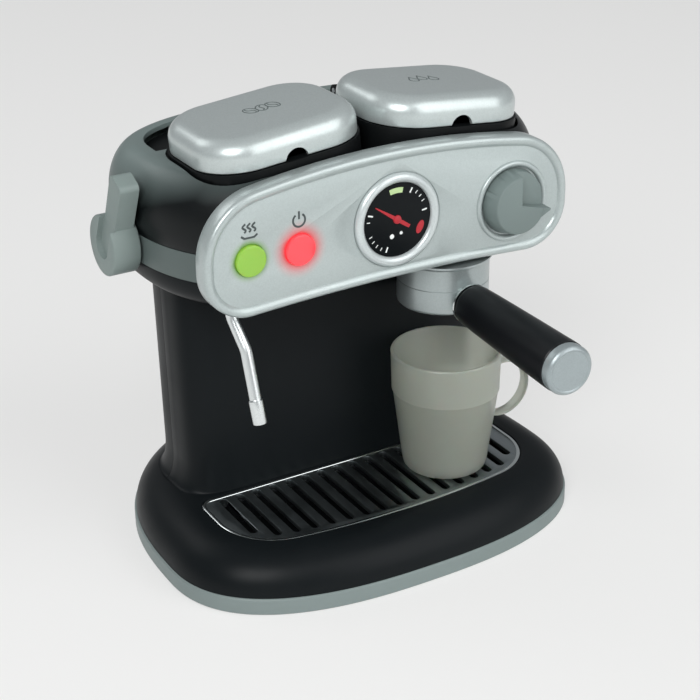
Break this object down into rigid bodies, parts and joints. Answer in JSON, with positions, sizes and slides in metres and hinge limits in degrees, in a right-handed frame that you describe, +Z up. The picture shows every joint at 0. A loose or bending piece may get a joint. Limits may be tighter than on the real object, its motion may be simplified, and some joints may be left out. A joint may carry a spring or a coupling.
{
  "type": "toy coffee maker",
  "caption": "Toy espresso machine with an arched front panel, gauge, knob, push buttons, two lids, side crank, brewing handle, steam pipe, drip grille and cup.",
  "frame": {"origin": "on the resting face, on the left-right middle plane, halfway between the front and the back of the base", "axes": "+Z up, -Y towards the front panel, +X to the right of someone facing the front"},
  "size_m": [0.2478, 0.2534, 0.2454],
  "materials": {
    "black_plastic": "satin moulded ABS",
    "deep_black_plastic": "matt moulded ABS",
    "shoulder_plastic": "satin moulded ABS, sprayed to fade from grey to near black",
    "grey_plastic": "satin moulded ABS",
    "crank_plastic": "satin moulded ABS",
    "silver_plastic": "silver sprayed ABS",
    "plated_plastic": "vacuum plated ABS",
    "dial_plastic": null,
    "green_plastic": "translucent green cap",
    "red_plastic": "translucent red cap, lit",
    "natural_plastic": "uncoloured acetal",
    "hose_plastic": "soft clear tube",
    "cup_plastic": "frosted translucent polypropylene",
    "steel": "zinc plated",
    "board": "circuit board",
    "cell": "wrapped dry cell",
    "speaker_metal": "speaker with a paper cone"
  },
  "bodies": {
    "body": {"base_tray": "grey_plastic", "base_skirt": "black_plastic", "base_screws": "steel", "battery_box": "deep_black_plastic", "battery_cells": "cell", "battery_door": "grey_plastic", "door_screw": "steel", "speaker": "speaker_metal", "column_front": "black_plastic", "column_back": "black_plastic", "back_screws": "steel", "head_lower": "black_plastic", "head_band": "grey_plastic", "head_shell": "shoulder_plastic", "head_deck": "deep_black_plastic", "front_frame": "deep_black_plastic", "front_panel": "silver_plastic", "panel_screws": "steel", "gauge_bezel": "plated_plastic", "gauge_dial": "dial_plastic", "button_board": "board", "water_valve": "natural_plastic", "water_hose": "hose_plastic", "bean_box": "deep_black_plastic", "water_tank": "deep_black_plastic", "lid_pin_left": "steel", "lid_pin_right": "steel", "brew_head": "plated_plastic", "pipe_socket": "deep_black_plastic", "crank_bushing": "natural_plastic", "click_leaf": "natural_plastic"},
    "lid_left": {"lid_left": "silver_plastic"},
    "lid_right": {"lid_right": "silver_plastic"},
    "knob": {"knob": "crank_plastic", "knob_spindle": "deep_black_plastic"},
    "button_green": {"button_green": "green_plastic"},
    "button_red": {"button_red": "red_plastic"},
    "crank": {"crank": "crank_plastic", "crank_shaft": "steel", "click_wheel": "natural_plastic"},
    "steam_pipe": {"steam_pipe": "plated_plastic", "pipe_tip": "plated_plastic"},
    "brew_handle": {"bowl": "plated_plastic", "bowl_spout": "deep_black_plastic", "handle_collar": "plated_plastic", "handle_grip": "black_plastic", "handle_cap": "plated_plastic"},
    "tray": {"drip_tray": "deep_black_plastic"},
    "grille": {"drip_grille": "plated_plastic"},
    "cup": {"cup": "cup_plastic"}
  },
  "joints": [
    {"name": "lid_left_hinge", "type": "hinge", "parent": "body", "child": "lid_left", "pos_m": [-0.04766, 0.0279, 0.22819], "axis": [-0.9952, 0, -0.0976], "range_deg": [0, 95]},
    {"name": "lid_right_hinge", "type": "hinge", "parent": "body", "child": "lid_right", "pos_m": [0.04766, 0.0279, 0.22819], "axis": [-0.9952, 0, 0.0976], "range_deg": [0, 95]},
    {"name": "knob_turn", "type": "hinge", "parent": "body", "child": "knob", "pos_m": [0.071, -0.06, 0.185], "axis": [0, 1, 0], "range_deg": [-90, 0]},
    {"name": "green_push", "type": "slide", "parent": "body", "child": "button_green", "axis": [0, 1, 0], "range_m": [0, 0.002], "stiffness_N_per_m": 300},
    {"name": "red_push", "type": "slide", "parent": "body", "child": "button_red", "axis": [0, 1, 0], "range_m": [0, 0.002], "stiffness_N_per_m": 300},
    {"name": "crank_turn", "type": "hinge", "parent": "body", "child": "crank", "pos_m": [-0.12, 0.0135, 0.178], "axis": [-1, 0, 0], "continuous": true},
    {"name": "pipe_swivel", "type": "hinge", "parent": "body", "child": "steam_pipe", "pos_m": [-0.08, -0.032, 0.155], "axis": [0, 0, 1], "range_deg": [-35, 35]},
    {"name": "handle_lock", "type": "hinge", "parent": "body", "child": "brew_handle", "pos_m": [0.045, -0.0345, 0.135], "axis": [0, 0, 1], "range_deg": [-40, 0]},
    {"name": "tray_lift", "type": "slide", "parent": "body", "child": "tray", "axis": [0, 0, 1], "range_m": [0, 0.01]},
    {"name": "grille_lift", "type": "slide", "parent": "tray", "child": "grille", "axis": [0, 0, 1], "range_m": [0, 0.008]},
    {"name": "cup_slide", "type": "slide", "parent": "grille", "child": "cup", "axis": [0, -1, 0], "range_m": [0, 0.06]}
  ]
}
